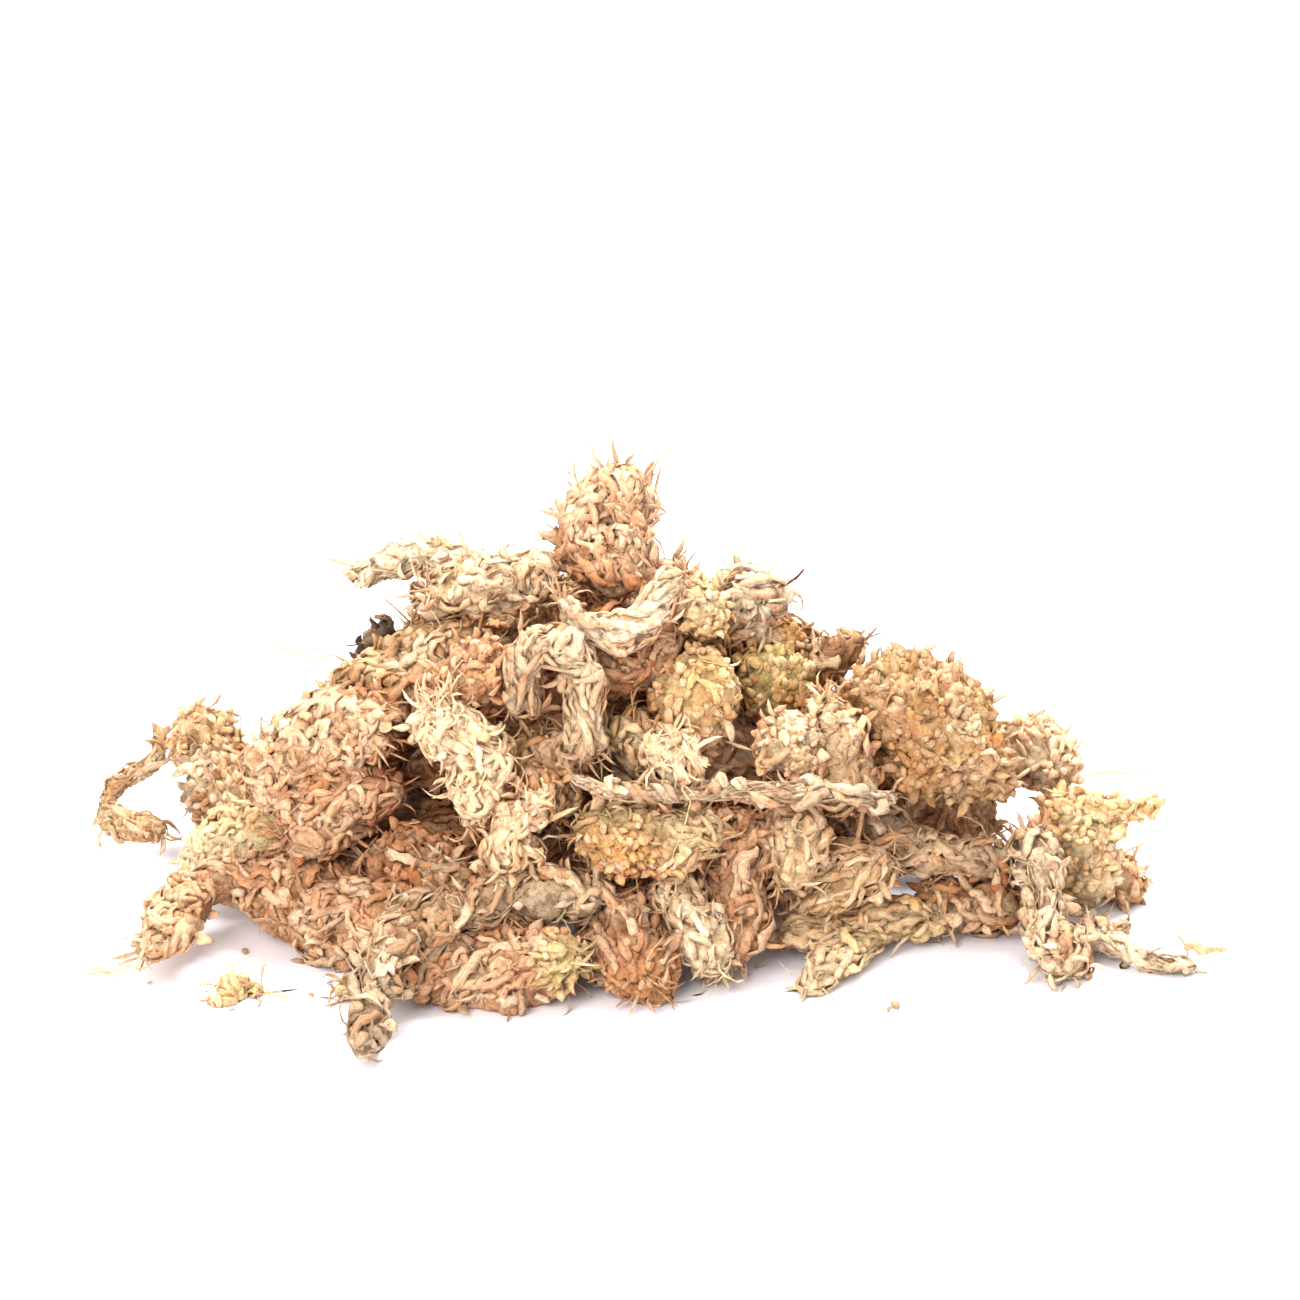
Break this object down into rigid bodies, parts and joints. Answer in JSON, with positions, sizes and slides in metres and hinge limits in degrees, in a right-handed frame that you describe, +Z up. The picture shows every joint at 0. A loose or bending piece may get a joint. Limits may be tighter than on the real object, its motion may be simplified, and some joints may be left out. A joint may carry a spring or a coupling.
{
  "type": "sphagnum moss clump",
  "caption": "Loose heap of dried sphagnum moss: tangled leafy strands, rounded heads and bare stems, lying on a flat surface.",
  "frame": {"origin": "centre of the heap's bounding box, at the level of the surface it lies on", "axes": "+Z up, +X along the heap's length, to the right in the pictured view, +Y away from the viewer"},
  "size_m": [0.1956, 0.1306, 0.0791],
  "materials": {
    "bark": "dry, matt and papery",
    "brown": "dry, matt and papery",
    "buff": "dry, matt and papery",
    "cream": "dry, matt and papery",
    "cream_grey": "dry, matt and papery",
    "grey_brown": "dry, matt and papery",
    "grey_cream": "dry, matt and papery",
    "ochre": "dry, matt and papery",
    "ochre_brown": "dry, matt and papery",
    "olive_tan": "dry, matt and papery",
    "olive_yellow": "dry, matt and papery",
    "pale_salmon": "dry, matt and papery",
    "pink_tan": "dry, matt and papery",
    "salmon": "dry, matt and papery",
    "salmon_brown": "dry, matt and papery",
    "straw": "dry, matt and papery",
    "tan": "dry, matt and papery",
    "tan_grey": "dry, matt and papery",
    "white_cream": "dry, matt and papery",
    "wood": "dry, matt and papery",
    "yellow_cream": "dry, matt and papery",
    "yellow_tan": "dry, matt and papery"
  },
  "bodies": {
    "root": {"dark_tail": "grey_brown", "salmon_rope": "salmon", "front_mass": "salmon", "brown_tail": "salmon_brown", "cream_hook": "cream", "red_tail": "salmon", "buff_centre": "buff", "broom": "tan", "long_leaf": "straw", "low_stem": "cream_grey", "flaky_stem": "cream_grey", "far_stem": "cream_grey", "curved_rope": "tan_grey", "dark_low_rope": "brown", "crust_block": "ochre", "brown_arm": "brown", "bud_cluster": "cream", "pale_mass": "yellow_cream", "back_head": "ochre_brown", "mid_stem": "cream_grey", "centre_head": "yellow_tan", "green_head": "olive_yellow", "curly_tuft": "cream", "shell_leaves": "olive_tan", "arch_strand": "grey_cream", "tan_column": "tan", "red_cluster": "salmon_brown", "left_shoulder": "tan", "big_rope": "pale_salmon", "low_rope": "salmon", "cream_leg": "cream", "cream_twist": "cream", "brown_lump": "salmon_brown", "yellow_left": "straw", "grey_curls": "grey_brown", "buff_cluster": "buff", "outer_twig": "buff", "top_tuft": "pink_tan", "white_v": "white_cream", "top_left": "cream", "top_left_pale": "white_cream", "woody_stub": "wood", "bark_bit": "bark", "top_right_buds": "yellow_cream", "top_right_pale": "white_cream", "brown_top_head": "ochre_brown", "ragged_mid": "buff", "mid_buff": "cream", "olive_low": "olive_tan", "red_centre": "salmon_brown", "inner_low": "salmon_brown", "inner_high": "salmon_brown", "back_low_left": "salmon", "back_low_right": "tan", "back_mid_left": "buff", "back_mid_right": "salmon", "back_high_left": "tan", "back_high_right": "pale_salmon", "crumb_curl": "yellow_cream", "crumb_sprig": "buff"}
  },
  "joints": []
}
